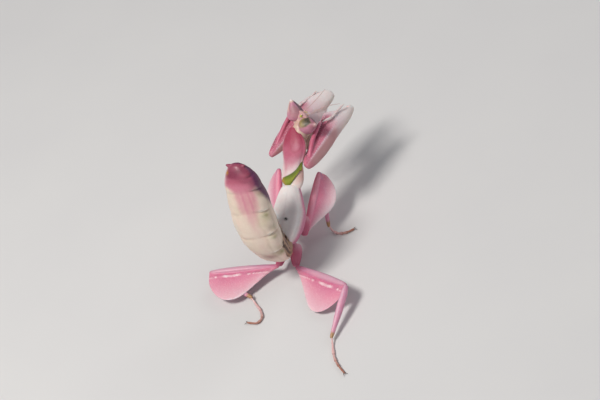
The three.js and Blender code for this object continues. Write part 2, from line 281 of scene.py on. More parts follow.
def groupOf(name, inputs, outputs):
    group = bpy.data.node_groups.new(name, "ShaderNodeTree")
    for label, kind, value in inputs:
        socket = group.interface.new_socket(name=label, in_out="INPUT", socket_type="NodeSocket" + kind)
        socket.default_value = value
    for label, kind in outputs:
        group.interface.new_socket(name=label, in_out="OUTPUT", socket_type="NodeSocket" + kind)
    return group, group.nodes.new("NodeGroupInput"), group.nodes.new("NodeGroupOutput")


# soft uneven colour, from broad clouds down to fine mottling
def blotchGroup():
    group, given, out = groupOf("blotches", (("Color", "Color", (1, 1, 1, 1)), ("Size", "Float", 1.0),
                                             ("Amount", "Float", 0.2)), (("Color", "Color"),))
    place = addNode(group, "TexCoord")
    cloud = addNode(group, "TexNoise", {"Detail": 6, "Roughness": 0.62})
    spread = addNode(group, "MapRange", {"From Min": 0.3, "From Max": 0.7})
    strength = addNode(group, "Math", operation="MULTIPLY")
    darker = addNode(group, "Mix", {"B": (0.74, 0.5, 0.55, 1)}, data_type="RGBA", blend_type="MULTIPLY")
    wire(group, (place, "Object", cloud, "Vector"), (given, "Size", cloud, "Scale"),
         (cloud, "Fac", spread, "Value"), (spread, "Result", strength, 0),
         (given, "Amount", strength, 1), (strength, "Value", darker, "Factor"),
         (given, "Color", darker, "A"), (darker, "Result", out, "Color"))
    return group


# close-set raised granules, some of them bright, their brightness partly pale granules and partly painted
# glints
def granuleGroup():
    group, given, out = groupOf("granules", (("Size", "Float", 7000.0), ("Share", "Float", 0.3)),
                                (("Height", "Float"), ("Speck", "Float")))
    place = addNode(group, "TexCoord")
    cell = addNode(group, "TexVoronoi")
    dome = addNode(group, "MapRange", {"From Min": 0.62, "From Max": 0.05}, interpolation_type="SMOOTHSTEP")
    parts = addNode(group, "SeparateColor")
    bright = addNode(group, "Math", operation="LESS_THAN")
    speck = addNode(group, "Math", operation="MULTIPLY")
    wire(group, (place, "Object", cell, "Vector"), (given, "Size", cell, "Scale"),
         (cell, "Distance", dome, "Value"), (cell, "Color", parts, "Color"), (parts, "Red", bright, 0),
         (given, "Share", bright, 1), (dome, "Result", speck, 0), (bright, "Value", speck, 1),
         (dome, "Result", out, "Height"), (speck, "Value", out, "Speck"))
    return group


blotches = blotchGroup()
granules = granuleGroup()


def placed(tree, group, **sockets):
    return addNode(tree, "Group", sockets, node_tree=group)


def newMaterial(name):
    material = bpy.data.materials.new(name)
    material.use_nodes = True
    return material, material.node_tree, material.node_tree.nodes["Principled BSDF"]


# cuticle: painted tint, blotched, with granules where the tint's alpha asks for them, the bright ones mixing
# a painted glint into the colour
cuticle = {"scatter": (1.0, 0.45, 0.4), "scatterSize": 0.0005, "coatRoughness": 0.22, "gloss": 0.5,
           "glint": (1.0, 0.93, 0.94, 1), "foldHeight": 0.00006, "grainHeight": 0.00004}


def cuticleMaterial(name, look):
    material, tree, skin = newMaterial(name)
    setSockets(skin, {"Subsurface Weight": look["depth"], "Subsurface Radius": cuticle["scatter"],
                      "Subsurface Scale": cuticle["scatterSize"], "Coat Weight": look["coat"],
                      "Coat Roughness": cuticle["coatRoughness"], "Specular IOR Level": cuticle["gloss"]})
    tint = addNode(tree, "Attribute", attribute_name="tint")
    cloudy = placed(tree, blotches, Size=look["cloudSize"], Amount=look["cloud"])
    fine = placed(tree, blotches, Size=look["mottleSize"], Amount=look["mottle"])
    grain = placed(tree, granules, Size=look["grainSize"], Share=look["share"])
    speck, raised = (addNode(tree, "Math", operation="MULTIPLY") for _ in range(2))
    share = addNode(tree, "Math", {1: look["speck"]}, operation="MULTIPLY")
    # painted glints: the bright granules mix the glint colour into the base colour
    lit = addNode(tree, "Mix", {"B": cuticle["glint"]}, data_type="RGBA")
    wire(tree, (tint, "Color", cloudy, "Color"), (cloudy, "Color", fine, "Color"), (grain, "Speck", speck, 0),
         (tint, "Alpha", speck, 1), (speck, "Value", share, 0), (share, "Value", lit, "Factor"),
         (fine, "Color", lit, "A"), (lit, "Result", skin, "Base Color"))
    place = addNode(tree, "TexCoord")
    wrinkle = addNode(tree, "TexNoise", {"Scale": look["wrinkleSize"], "Detail": 5})
    matt = look["roughness"]
    rough = addNode(tree, "MapRange", {"To Min": matt - 0.12, "To Max": matt + 0.14})
    folds = addNode(tree, "Bump", {"Strength": look["wrinkle"], "Distance": cuticle["foldHeight"]})
    beads = addNode(tree, "Bump", {"Strength": look["grain"], "Distance": cuticle["grainHeight"]})
    wire(tree, (place, "Object", wrinkle, "Vector"), (wrinkle, "Fac", rough, "Value"),
         (rough, "Result", skin, "Roughness"), (grain, "Height", raised, 0), (tint, "Alpha", raised, 1),
         (wrinkle, "Fac", folds, "Height"), (folds, "Normal", beads, "Normal"),
         (raised, "Value", beads, "Height"), (beads, "Normal", skin, "Normal"))
    return material


skinLook = {"depth": 0.25, "coat": 0.13, "cloudSize": 420, "cloud": 0.16, "mottleSize": 3200, "mottle": 0.16,
            "grainSize": 10500, "share": 0.36, "speck": 0.42, "grain": 0.5, "wrinkleSize": 1500,
            "wrinkle": 0.22, "roughness": 0.45}
shieldLook = {**skinLook, "cloudSize": 900, "cloud": 0.38, "coat": 0.05, "mottle": 0.26, "wrinkleSize": 1900,
              "wrinkle": 0.45, "roughness": 0.54}
eyeLook = {**skinLook, "depth": 0.12, "coat": 0.12, "cloud": 0.3, "cloudSize": 1600, "mottle": 0.4,
           "mottleSize": 9000, "grainSize": 16000, "share": 0.1, "speck": 0.2, "grain": 0.2,
           "roughness": 0.46}
footLook = {**skinLook, "depth": 0.2, "cloudSize": 1500, "cloud": 0.4, "mottle": 0.3, "wrinkleSize": 3800,
            "wrinkle": 0.5, "roughness": 0.46}
clawLook = {**skinLook, "depth": 0.0, "coat": 0.6, "cloud": 0.35, "cloudSize": 2500, "wrinkle": 0.12,
            "roughness": 0.3}

skinMaterial = cuticleMaterial("petalCuticle", skinLook)
shieldMaterial = cuticleMaterial("shieldCuticle", shieldLook)
eyeMaterial = cuticleMaterial("eyeCuticle", eyeLook)
footMaterial = cuticleMaterial("footCuticle", footLook)
clawMaterial = cuticleMaterial("clawHorn", clawLook)
print("materials ready")


# the body's frames, as the solids have them
body = {"backHeight": 6.02, "thoraxPitch": 28, "thoraxLength": 7.78, "prothoraxLength": 7.4,
        "prothoraxAttitude": (-12, 48, 0), "headAttitude": (-27.6, -11.3, 25), "headHeight": 4.1}
thorax = axesOf(0, body["thoraxPitch"])
backRear = np.array((0, 0, body["backHeight"]))
backFront = offset(backRear, thorax, ahead=body["thoraxLength"])
prothorax = axesOf(*body["prothoraxAttitude"])
shieldFront = offset(backFront, prothorax, ahead=body["prothoraxLength"])
head = axesOf(*body["headAttitude"])
headCentre = offset(shieldFront, prothorax, ahead=1.58, right=-0.08, up=-1.6)
flesh = []  # the tubes that become one skin


def addFlesh(*tube):
    flesh.append(layTube(*tube))


# thorax behind the shield: white back, pink flanks, and a brown hollow where the abdomen bends up, its brown
# partly painted shade and its dark stripes its own
thoraxPaint = {"back": "#f3efed", "grey": "#cfc6c8", "flank": "#d98aa8", "belly": "#c9849c",
               "line": "#d9cdd0", "dot": "#231a1f", "hollow": "#a68566", "stripe": "#43261d",
               "collar": "#e8d3c6", "collarShade": "#c99a96", "collarLight": "#f2ece8"}


def hollowMask(spot):
    return soft(0.17 - 0.0032 * np.maximum(spot.turn, -12) - spot.s, -0.012, 0.012)


def paintThorax(spot):
    back = soft(-spot.over, 0.02, 0.5)  # the back is where the section turns upward
    stripes = 0.5 + 0.5 * np.cos(np.radians(spot.turn) * 16 + 2.5 * spot.s)
    hollow = hollowMask(spot)
    dot = hump(away(spot, spot.turn, 0.385, 8, body["thoraxLength"], 1.7), 0, 0.16)
    return washed(
        thoraxPaint, spot, "flank",
        ("back", back),
        ("belly", soft(spot.over, 0.2, 0.8)),
        ("grey", 0.5 * hump(spot.turn, 30, 12) * soft(spot.s, 0.9, 0.6)),
        ("line", 0.25 * hump(spot.turn, 0, 3)),
        # the hollow: brown ground that is partly painted shade, with the body's own dark stripes
        ("hollow", 0.9 * hollow),
        ("stripe", 0.9 * hollow * soft(stripes, 0.3, 0.7)),
        ("dot", 1.5 * dot)), 0.06 * back


def thoraxSection(spot):
    right, left = profile(1.7, 2.15, 2.3, 1.85, 1.4), profile(1.7, 2.15, 2.3, 2.05, 1.75)
    across, over = oval(right, profile(1.4, 1.75, 1.8, 1.5, 1.2), left, profile(1.9, 1.3), 0.9)(spot)
    fold = hump(np.abs(spot.turn), 58, 6)  # a lengthwise fold where back meets flank
    step = hump(spot.s, 0.49, 0.014) * soft(-spot.over, -0.2, 0.6)  # between the two segments
    size = 1 - 0.04 * fold - 0.014 * step + 0.012 * hump(spot.turn, 0, 7) - 0.05 * hollowMask(spot)
    return across * size, over * size


thoraxPath = np.linspace(offset(backRear, thorax, up=-1.9), offset(backFront, thorax, up=-1.3), 60)
addFlesh("thorax", thoraxPath, thorax["right"], thoraxSection, paintThorax, 90, 128, 0.22)


# the pale body that shows beside the shield's slanting hind rim
def paintCollar(spot):
    return washed(thoraxPaint, spot, "collar", ("collarShade", 0.6 * soft(spot.side, 0.2, 0.9)),
                  ("collarLight", 0.7 * hump(spot.s, 0.2, 0.14))), 0


collarPath = np.linspace(offset(backFront, prothorax, ahead=-1.1, right=0.1, up=-1.25),
                         offset(backFront, prothorax, ahead=3.4, right=0.05, up=-1.4), 40)
collarWidth, collarRise = profile(1.25, 1.42, 1.3, 1.1, 0.8), profile(0.7, 0.75, 0.7, 0.6)
addFlesh("collar", collarPath, prothorax["right"], oval(collarWidth, collarRise), paintCollar, 40, 48)


# abdomen: a curl of telescoped rings, cream with a pink band below and a dark magenta end
abdomen = {"halfWidth": 2.95, "halfDepth": 2.1, "median": -73, "length": 18,
           "creases": (0.05, 0.15, 0.29, 0.445, 0.63, 0.8, 0.905),
           "cream": "#eadbca", "shadow": "#b3997c", "olive": "#c9c2a0", "band": "#d68f9f", "cap": "#b25c74",
           "blush": "#cf8297", "tip": "#863450", "dusk": "#5c1a52", "stripe": "#43261d", "brown": "#a68566",
           "darkOlive": "#8f8a5c", "ochre": "#b8872c", "cercus": "#9c4a63", "shine": "#fffaf0",
           "baseCreaseShade": "#8f5a55", "capLight": "#e9c3c9", "capGleam": "#f0dfe6"}
abdomenPath = curvedPath(offset(backRear, thorax, up=-1.75, ahead=0.1), *(np.array(p) for p in (
    (0.05, 1.15, 5), (0.3, 2.4, 8), (0.7, 2.35, 12), (1, 1.3, 16), (1.55, 0.25, 20.75))))
abdomenWidth = profile(0.52, 0.68, 0.85, 0.97, 1, 0.99, 0.95, 0.86, 0.7)
abdomenDepth = profile(0.6, 0.72, 0.88, 0.98, 1, 0.98, 0.92, 0.82, 0.64)


# slow uneven waves, so that no fold runs dead straight
def waves(spot, pitch, seed):
    a, t = np.radians(spot.angle), spot.s * pitch
    return (np.sin(t * 1.0 + 2 * a + seed) + 0.7 * np.sin(t * 1.9 - 3 * a + 2.1 * seed)
            + 0.5 * np.sin(t * 3.3 + 5 * a + 3.7 * seed)) / 2.2


# the grooves between the rings, the lip behind each, and how far a point is on the puffed flank
def creases(spot, width):
    turn = around(spot.angle, abdomen["median"])
    s = spot.s + 0.006 * waves(spot, 9, 1) - 0.012 * hump(np.abs(turn), 0, 30)
    near = sum(hump(s, c, width) for c in abdomen["creases"])
    lip = sum(hump(s, c + 1.6 * width, 1.3 * width) for c in abdomen["creases"])
    flank = hump(np.abs(turn), 42, 24) * np.where(turn > 0, 1, 0.35)
    return near, lip, flank, turn


def abdomenSection(spot):
    past = np.maximum(0, (spot.s - 0.88) / 0.12)
    taper = np.sqrt(1 - 0.8 * past * past)
    wide = abdomen["halfWidth"] * abdomenWidth(spot.s) * taper
    deep = abdomen["halfDepth"] * abdomenDepth(spot.s) * taper
    across, over = oval(wide, deep, boxy=0.92)(spot)
    near, lip, flank, turn = creases(spot, 0.0105)
    along = within(spot.s, (0, *abdomen["creases"], 1.08))
    swell = 0.982 + 0.026 * np.sin(math.pi * np.clip(along, 0, 1)) + 0.008 * along
    inside = between(spot.s, 0.08, 0.2, 0.76, 0.84)
    bend = turn + 5 * waves(spot, 11, 4)
    furrow = (hump(bend, 17, 4) * 0.012 + hump(bend, 64, 5) * 0.032 + hump(bend, -20, 5) * 0.006
              + hump(bend, -64, 5) * 0.03) * inside * (0.35 + 0.65 * np.sin(math.pi * along) ** 2)
    pillow = 0.042 * flank * np.sin(math.pi * along) * inside
    size = swell + pillow - furrow - near * (0.004 + 0.11 * flank) + lip * 0.04 * flank
    size = size + 0.008 * waves(spot, 26, 2) * inside
    size = size - 0.05 * hump(away(spot, turn, 0.49, 50, 15), 0, 0.35)  # a dimple in the flank
    return across * size, over * size


def paintAbdomen(spot):
    near, lip, flank, turn = creases(spot, 0.0065)
    wave = waves(spot, 22, 3)
    s = spot.s + 0.008 * wave
    side = np.abs(turn)
    # just on the base side of the creases, under the lips, where painted shadow goes
    below = sum(hump(spot.s, crease - 0.022, 0.014) for crease in abdomen["creases"][2:5])
    low = np.interp(spot.s, (0, 0.2, 0.29, 0.35, 0.44, 0.6), (42, 48, 58, 70, 84, 100))
    high = np.interp(spot.s, (0.6, 0.66, 0.72, 0.79, 0.84, 0.89, 0.94, 1), (100, 74, 60, 47, 40, 46, 60, 76))
    stripes = 0.5 + 0.5 * np.cos(np.radians(spot.angle) * 16 + 7 * spot.s)
    hollow = soft(side + 3 * wave, low - 3, low + 3) * (1 - soft(spot.s, 0.5, 0.6))
    spread = np.where(turn > 0, turn, -turn - 52) + 3 * wave
    dusk = soft(spread, high - 6, high + 16) * soft(spot.s, 0.6, 0.68)
    warm = hump(spread, high - 2, 15) * soft(spot.s, 0.72, 0.82)
    reach = 8 + 22 * soft(spot.s, 0.52, 0.8)
    band = 1 - soft(np.abs(turn + 4 * wave), reach - 12, reach + 14)
    streaks = np.cos(np.radians(turn) * 21 + 4 * spot.s) + 0.6 * np.cos(np.radians(turn) * 37)
    band = band * (0.1 + 0.9 * soft(spot.s, 0.44, 0.74)) * (0.88 + 0.1 * streaks)
    capEdge = 0.84 + 0.015 * soft(-turn, 20, 80) - 0.008 * hump(turn, 20, 14)
    cap = soft(s, capEdge - 0.02, capEdge + 0.014)
    return washed(
        abdomen, spot, "cream",
        ("olive", 0.5 * soft(wave, 0.1, 0.9) * flank),
        ("shadow", 0.55 * near * (0.12 + 0.88 * flank)),
        ("cream", 0.5 * lip * flank),
        ("olive", 0.45 * flank * hump(near + lip, 0, 0.4) * soft(wave, -0.4, 0.6)),
        # painted highlight: a glint along the lips of the creases on the flank
        ("shine", lip * hump(turn, 36, 15) * soft(spot.s, 0.97, 0.8)),
        ("shadow", 0.3 * hump(turn + 5 * wave, 64, 5) + 0.2 * hump(turn + 5 * wave, 17, 4)),
        # painted shade: brownish in the crease near the abdomen's base
        ("baseCreaseShade", 0.75 * hump(s, 0.265, 0.03) * hump(turn, -2, 24)),
        # painted shadow in dark olive under the lips on the flank
        ("darkOlive", 0.7 * below * flank * hump(turn, 46, 14)),
        ("band", 0.97 * band),
        # where the abdomen bends up from the thorax: brown ground that is partly painted shade of the hollow,
        # with the body's own dark stripes
        ("brown", 0.9 * hollow),
        ("stripe", 0.9 * hollow * soft(stripes, 0.25, 0.65) * soft(spot.s, 0.08, 0.16)),
        ("blush", 0.75 * soft(s, capEdge - 0.06, capEdge) * (1 - soft(side, 20, 60))),
        ("blush", cap),
        ("cap", cap * soft(s, 0.85, 0.905) * (1 - 0.5 * soft(-turn, 40, 80))),
        ("capLight", 0.55 * cap * hump(turn, -78, 16)),
        ("tip", soft(s + 0.02 * wave, 0.89, 0.965) * (1 - 0.6 * hump(turn, -85, 22))),
        ("tip", 0.3 * cap * soft(wave, 0.1, 1) * soft(s, 0.86, 0.9)),
        ("tip", 0.6 * warm),
        ("cercus", 0.6 * soft(s, 0.965, 0.985)),
        ("dusk", 0.93 * dusk),
        # painted highlight on the cap
        ("capGleam", 0.6 * hump(s, 0.9, 0.05) * hump(turn, -82, 9)),
        ("ochre", 1.2 * hump(away(spot, turn, 0.955, -66, abdomen["length"]), 0, 0.2))), 0.1 * cap


addFlesh("abdomen", abdomenPath, thorax["right"], abdomenSection, paintAbdomen, 240, 150, 0.22)


def paintCercus(spot):
    return washed(abdomen, spot, "cercus", ("tip", soft(spot.s, 0.5, 1))), 0


for sign in (1, -1):
    end, aim = abdomenPath[-1], unit(abdomenPath[-1] - abdomenPath[-4])
    lean = unit(aim * 0.3 + thorax["right"] * sign)
    start = end - aim * 0.45 + thorax["right"] * sign * 0.55
    addFlesh(f"cercus{sign}", straightPath(start, lean, 0.9), thorax["right"],
             roundTube(0.3, 0.3, 0.22, 0.14), paintCercus, 24, 24)
print("trunk drawn")


# walking legs: a ridge along the femur and a petal lobe behind it
midLeg = {"femur": 9.6, "tibia": 7.6, "tarsus": 3.9, "lobe": 3.3,
          "hip": (1.92, -2.95, 3.71), "socket": (1.35, -5, 5.3)}
hindLeg = {"femur": 9.8, "tibia": 7.6, "tarsus": 6.3, "lobe": 4.95,
           "hip": (1.26, 0.88, 1.68), "socket": (0.9, -1.7, 3.4)}
stances = {
    "midleg_right": {"size": midLeg, "side": -1, "femur": (1.2, 16.4), "lobe": (-65.4, -37.5), "drop": 0,
                     "tibia": (-164.5, -48.5), "tarsus": (-112, -80, -66, -50)},
    "midleg_left": {"size": midLeg, "side": 1, "femur": (12.2, 22.6), "lobe": (72, -28), "drop": 0,
                    "tibia": (127, -62.5), "tarsus": (108, 100, 92, 80)},
    "hindleg_right": {"size": hindLeg, "side": -1, "femur": (-112.6, 6.9), "lobe": (160.3, -22.6), "drop": 0,
                      "tibia": (176.6, -16.6), "tarsus": (-156, -146, -138, -133)},
    "hindleg_left": {"size": hindLeg, "side": 1, "femur": (103, 2.3), "lobe": (-167.5, -8), "drop": 0.5,
                     "tibia": (-111.7, -6.3), "tarsus": (-136, -156, -205, -268)},
}
petal = {"heart": "#d9769a", "mid": "#e596af", "midHeart": "#ee88a8", "margin": "#f8e6ea", "ridge": "#c98aa9",
         "crease": "#b26482", "root": "#c26082", "coxa": "#c0607e", "coxaLight": "#e9c3cf", "shin": "#dd9ab6",
         "shinKnee": "#b8709a", "shinKeel": "#a9557e", "shinLight": "#f0dbe6", "shinEnd": "#a98a45",
         "thickness": 0.54, "ridgeWidth": 0.4, "toeHeight": 0.24}
lobeOutline = profile(0.1, 0.22, 0.41, 0.63, 0.84, 0.97, 1, 0.92, 0.72)
footShares = (0.42, 0.2, 0.14, 0.24)
footPaths = {}


def addWalkingLeg(name, stance):
    size, sign = stance["size"], stance["side"]
    isMid = name.startswith("mid")
    isHind = 0.0 if isMid else 1.0
    hip, socket = (np.array(size[part]) * (sign, 1, 1) for part in ("hip", "socket"))
    femurAim, lobeSide = direction(*stance["femur"]), direction(*stance["lobe"])
    femur = straightPath(hip, femurAim, size["femur"])
    _, _, thick = frameAt(femur, lobeSide, 0.5)
    top = 1 if thick[2] > 0 else -1  # which face of the lobe looks up

    # the coxa's deep rose is partly its own colour and partly painted shade under the body
    def paintCoxa(spot):
        return washed(petal, spot, "coxa", ("coxaLight", 0.5 * soft(0.5 - spot.s, 0, 0.5))), 0
    addFlesh(f"{name}Coxa", np.linspace(socket, hip, 40), thorax["right"],
             roundTube(0.95, 0.8, 0.58), paintCoxa, 28, 28, 0.4)

    def paintRidge(spot):
        # the mid legs' ridges take a brighter pink than the hind ones: painted light
        return washed(
            petal, spot, "midHeart" if isMid else "ridge",
            ("heart", 0.5 * soft(spot.side, -0.6, 0.9)),
            # painted highlight: the ridge paler on its upper face
            ("margin", 0.25 * soft(spot.over * top, 0.3, 1) * soft(spot.s, 0.1, 0.5)),
            ("root", 0.75 * soft(0.18 - spot.s, 0, 0.18)),
            ("root", 0.4 * soft(spot.s, 0.93, 1))), 0.3
    addFlesh(f"{name}Ridge", femur, lobeSide, roundTube(0.42, 0.46, 0.5, 0.5, 0.48), paintRidge, 90, 32)

    def blade(spot):
        half = petal["thickness"] / 2
        across, over = oval(size["lobe"] * lobeOutline(spot.s), half, petal["ridgeWidth"], boxy=0.7)(spot)
        out = np.clip(across / size["lobe"], 0, 1)
        over = over * (1 - 0.5 * out ** 2)
        if not isMid:  # a fine raised line beside the ridge, on the upper face
            over = over + top * 0.07 * hump(across, 0.95, 0.09) * (over * top > 0)
        dish = 0.16 * np.sin(math.pi * np.clip(out, 0, 1)) * soft(spot.s, 0.1, 0.5)
        return across, over - top * dish

    def paintBlade(spot):
        reach = size["lobe"] * lobeOutline(spot.s)
        t = np.clip(spot.across / reach, 0, 1)
        far = soft(t, 0.3, 1)
        rim = soft(t, 0.9, 0.99)
        upper = spot.above * top > 0
        # on the mid legs the brighter pink and the whiter margin are painted light
        shade = washed(
            petal, spot, "midHeart" if isMid else "heart",
            ("mid", soft(t, 0.1, 0.5) if isMid else soft(t, 0.12, 0.55)),
            ("margin", (0.9 if isMid else 0.5) * far ** (1 if isMid else 1.4)),
            ("margin", 0.6 * rim),
            ("root", 0.5 * soft(0.28 - spot.s, 0, 0.26)),
            ("mid", 0.4 * soft(spot.s, 0.75, 1)),
            # on the hind lobes' upper face: painted shade in the crease beside the ridge, and a painted
            # highlight along the fine raised line
            ("crease", 0.4 * isHind * hump(spot.across, 0.74, 0.09) * upper),
            ("margin", 0.9 * isHind * hump(spot.across, 0.95, 0.045) * upper))
        return shade, np.clip(0.35 + 0.45 * soft(t, 0.1, 0.4) - 0.4 * rim, 0, 1)
    addFlesh(f"{name}Blade", femur, lobeSide, blade, paintBlade, 110, 120, 0.45)

    knee = femur[-1] - np.array((0, 0, stance["drop"]))
    tibiaAim = direction(*stance["tibia"])

    def shinSection(spot):
        across, over = roundTube(0.55, 0.54, 0.5, 0.42, 0.34, 0.38)(spot)
        keel = 0.06 * hump(spot.angle * top, 90, 22)
        return across * (1 + keel), over * (1 + keel)

    def paintShin(spot):
        keel = lengthwise(spot.angle * top, 55, 12)
        return washed(
            petal, spot, "shin",
            ("shinKnee", 0.6 * soft(0.12 - spot.s, 0, 0.12)),
            ("shinKeel", 0.5 * keel * soft(spot.s, 0.05, 0.2) * soft(0.85 - spot.s, 0, 0.25)),
            ("shinLight", 0.5 * lengthwise(spot.angle * top, 110, 22)),
            ("shinEnd", 0.85 * soft(spot.s, 0.86, 0.93))), 0.1
    addFlesh(f"{name}Shin", straightPath(knee, tibiaAim, size["tibia"]), lobeSide,
             shinSection, paintShin, 70, 28)

    ankle = knee + tibiaAim * size["tibia"]
    points = [ankle - tibiaAim * 0.3]
    toe = np.array((ankle[0], ankle[1], petal["toeHeight"]))
    for i, azimuth in enumerate(stance["tarsus"]):
        before, toe = toe, toe + direction(azimuth, 0) * size["tarsus"] * footShares[i]
        if i == 0:
            points.append(before + (toe - before) * 0.35)
        points.append(toe)
    footPaths[name] = curvedPath(*points)


for name, stance in stances.items():
    addWalkingLeg(name, stance)
print("walking legs drawn")


# forelegs: swung to one side and folded, femur and tibia shut on each other
foreleg = {"coxa": 8.65, "femur": 10.3, "tibia": 6.2, "tarsus": 4.6, "white": "#ece6e4", "lilac": "#dcc3cf",
           "rose": "#c96885", "deep": "#ab4166", "facet": "#c58f92", "maroon": "#7a2043", "beige": "#e6d0bc",
           "mark": "#9a7a6a", "tibiaWide": (0.48, 0.38, 0.32, 0.3, 0.28),
           "tibiaDeep": (0.52, 0.46, 0.42, 0.38, 0.32), "root": (-0.34, 0.7, -2),
           "spineEdge": -82}  # the angle round the femur of the edge that carries the spines
foreStances = {
    "foreleg_right": {"side": 1, "coxa": (-23, -6.4), "femur": (166.6, 0.5), "tibia": (-6.3, 23),
                      "tarsus": ((-28, -22), (-13, -10), (-12, -1), (-27, 5)), "palm": (85.6, 49.1),
                      "base": 1, "bow": 0.42,
                      "blade": (0.95, 1.1, 1.8, 2.5, 2.3, 2, 1.8, 1.65, 1.45, 1.35, 1.15),
                      "spine": (0.9, 1, 1, 0.95, 0.95, 1, 1.1, 1.15, 1.15, 1.1, 1)},
    "foreleg_left": {"side": -1, "coxa": (-9.1, 0.9), "femur": (150.2, -7.4), "tibia": (-18.9, 27.7),
                     "tarsus": ((-31, 0), (-31, -4), (-30, 0), (-36, 9)), "palm": (77.5, 52.4),
                     "base": 1.5, "bow": 0.12,
                     "blade": (1.5, 2.05, 2.35, 2.2, 1.8, 1.4, 0.9),
                     "spine": (1, 1.1, 1.1, 1, 0.9, 0.8, 0.6)},
}
foreFrames = {}


def addForeleg(name, stance):
    palm = direction(*stance["palm"])
    ahead, aside, up = foreleg["root"]
    root = offset(shieldFront, prothorax, ahead * body["prothoraxLength"], stance["side"] * aside, up)
    coxaAim, femurAim, tibiaAim = (direction(*stance[part]) for part in ("coxa", "femur", "tibia"))
    hinge = root + coxaAim * foreleg["coxa"]
    knee = hinge + femurAim * foreleg["femur"]
    femur = straightPath(hinge, femurAim, foreleg["femur"], stance["base"], 0.65)
    tibiaEnd = knee + tibiaAim * foreleg["tibia"]
    tibia = curvedPath(knee - tibiaAim * 0.1, (knee + tibiaEnd) / 2 + palm * stance["bow"], tibiaEnd)
    ridgeTurn = foreleg["spineEdge"]

    def femurSection(spot):
        half = profile(0.75, 0.85, 0.85, 0.8, 0.75, 0.7, 0.65)
        across, over = oval(profile(*stance["blade"]), half, profile(*stance["spine"]))(spot)
        armed = between(spot.s, 0.18, 0.36, 0.88, 0.98)
        crest = 0.13 * lengthwise(spot.angle, ridgeTurn, 13) * armed
        groove = 0.15 * lengthwise(spot.angle, -26, 14) * armed  # where the tibia shuts in
        hollow = 0.05 * lengthwise(spot.angle, -125, 22) * armed
        size = 1 + crest - groove - hollow
        return across * size, over * size

    def paintFemur(spot):
        turn = around(spot.angle, ridgeTurn)
        wave = waves(spot, 12, 5)
        s = spot.s + 0.03 * wave
        red = soft(s, 0.26, 0.5)
        inner = between(turn, -3, 5, 112, 140)  # the side that faces the tibia
        fromMark = away(spot, turn, 0.3, -20, 12.4, 1.6)
        isLeft = stance["side"] < 0
        shade = washed(
            foreleg, spot, "white",
            ("lilac", 0.55 * hump(s, 0.3, 0.14)),
            ("beige", 0.45 * lengthwise(turn, -60, 40) * (1 - red)),
            # the outer face's dusky brownish pink is partly its own colour and partly painted shade
            ("facet", 0.95 * red * (1 - inner)),
            ("rose", 0.95 * red * inner),
            # deep rose and maroon along the groove where the tibia shuts in: painted shade
            ("deep", 0.7 * hump(turn, 52, 24) * soft(s, 0.27, 0.36) * soft(spot.s, 0.99, 0.9)),
            ("maroon", 0.75 * hump(turn, 64, 14) * soft(spot.s, 0.3, 0.45) * soft(spot.s, 0.97, 0.86)),
            ("lilac", 0.7 * hump(turn, 2, 5) * red),
            ("rose", 0.5 * soft(spot.s, 0.86, 0.97)),
            ("beige", 0.5 * hump(fromMark, 0.42, 0.1) * isLeft),
            ("mark", 0.6 * hump(fromMark, 0, 0.13) * isLeft))
        return shade, np.clip(0.06 + 0.9 * inner * red, 0, 1)
    addFlesh(f"{name}Femur", femur, palm, femurSection, paintFemur, 140, 112, 0.45)

    def paintTibia(spot):
        turn = around(spot.angle, -75)
        return washed(
            foreleg, spot, "rose",
            ("deep", 0.9 * hump(turn, 8, 34)),
            # maroon on the side against the femur: painted shade in the groove
            ("maroon", 0.7 * hump(turn, -42, 12)),
            ("lilac", 0.75 * hump(turn, 62, 22)),
            ("lilac", 0.4 * soft(spot.s, 0.85, 1))), 0.15
    shin = oval(profile(*foreleg["tibiaWide"]), profile(*foreleg["tibiaDeep"]))
    addFlesh(f"{name}Tibia", tibia, palm, shin, paintTibia, 70, 40)

    def paintCoxa(spot):
        return washed(
            foreleg, spot, "white",
            ("beige", 0.9 * (1 - soft(spot.s, 0.3, 0.55))),
            ("lilac", 0.5 * hump(spot.s, 0.6, 0.2)),
            ("rose", 0.2 * hump(np.abs(spot.side), 1, 0.2))), 0.05
    coxa = curvedPath(root, (root + hinge) / 2 - unit(np.cross(coxaAim, palm)) * 0.45, hinge)
    front, back = profile(0.75, 0.6, 0.36, 0.3, 0.3, 0.4), profile(0.75, 0.75)
    section = oval(profile(0.85, 1, 1.2, 1.35, 1.35, 1.1), front, below=back)
    addFlesh(f"{name}Coxa", coxa, palm, section, paintCoxa, 60, 48)

    points = [tibia[-6]]
    for share, aim in zip(footShares, stance["tarsus"]):
        points.append(points[-1] + direction(*aim) * foreleg["tarsus"] * share)
    footPaths[name] = curvedPath(*points)
    foreFrames[name] = {"femur": femur, "tibia": tibia, "palm": palm, "section": femurSection,
                        "tibiaAim": tibiaAim}


for name, stance in foreStances.items():
    addForeleg(name, stance)
print("forelegs drawn")


# head: a wedge with the face in front, the crown between the eyes and the mouth below
face = {"ground": "#e6c6bb", "crown": "#d6abab", "blush": "#d58ba5", "maroon": "#7b2f45",
        "mouth": "#caa58e", "neck": "#dcc0ae", "fold": "#c08f86", "spot": "#bfc04a", "ocellus": "#d8c9a0",
        "pit": "#1d1a10", "fleck": "#fbf8ee", "palp": "#e5bfb0", "palpEnd": "#a86a5c"}
eye = {"spread": 0.7, "drop": 1.4, "tilt": 37, "length": 3.1, "radius": 1.22,
       "cone": (0.92, 1, 0.93, 0.78, 0.6, 0.4, 0.2)}


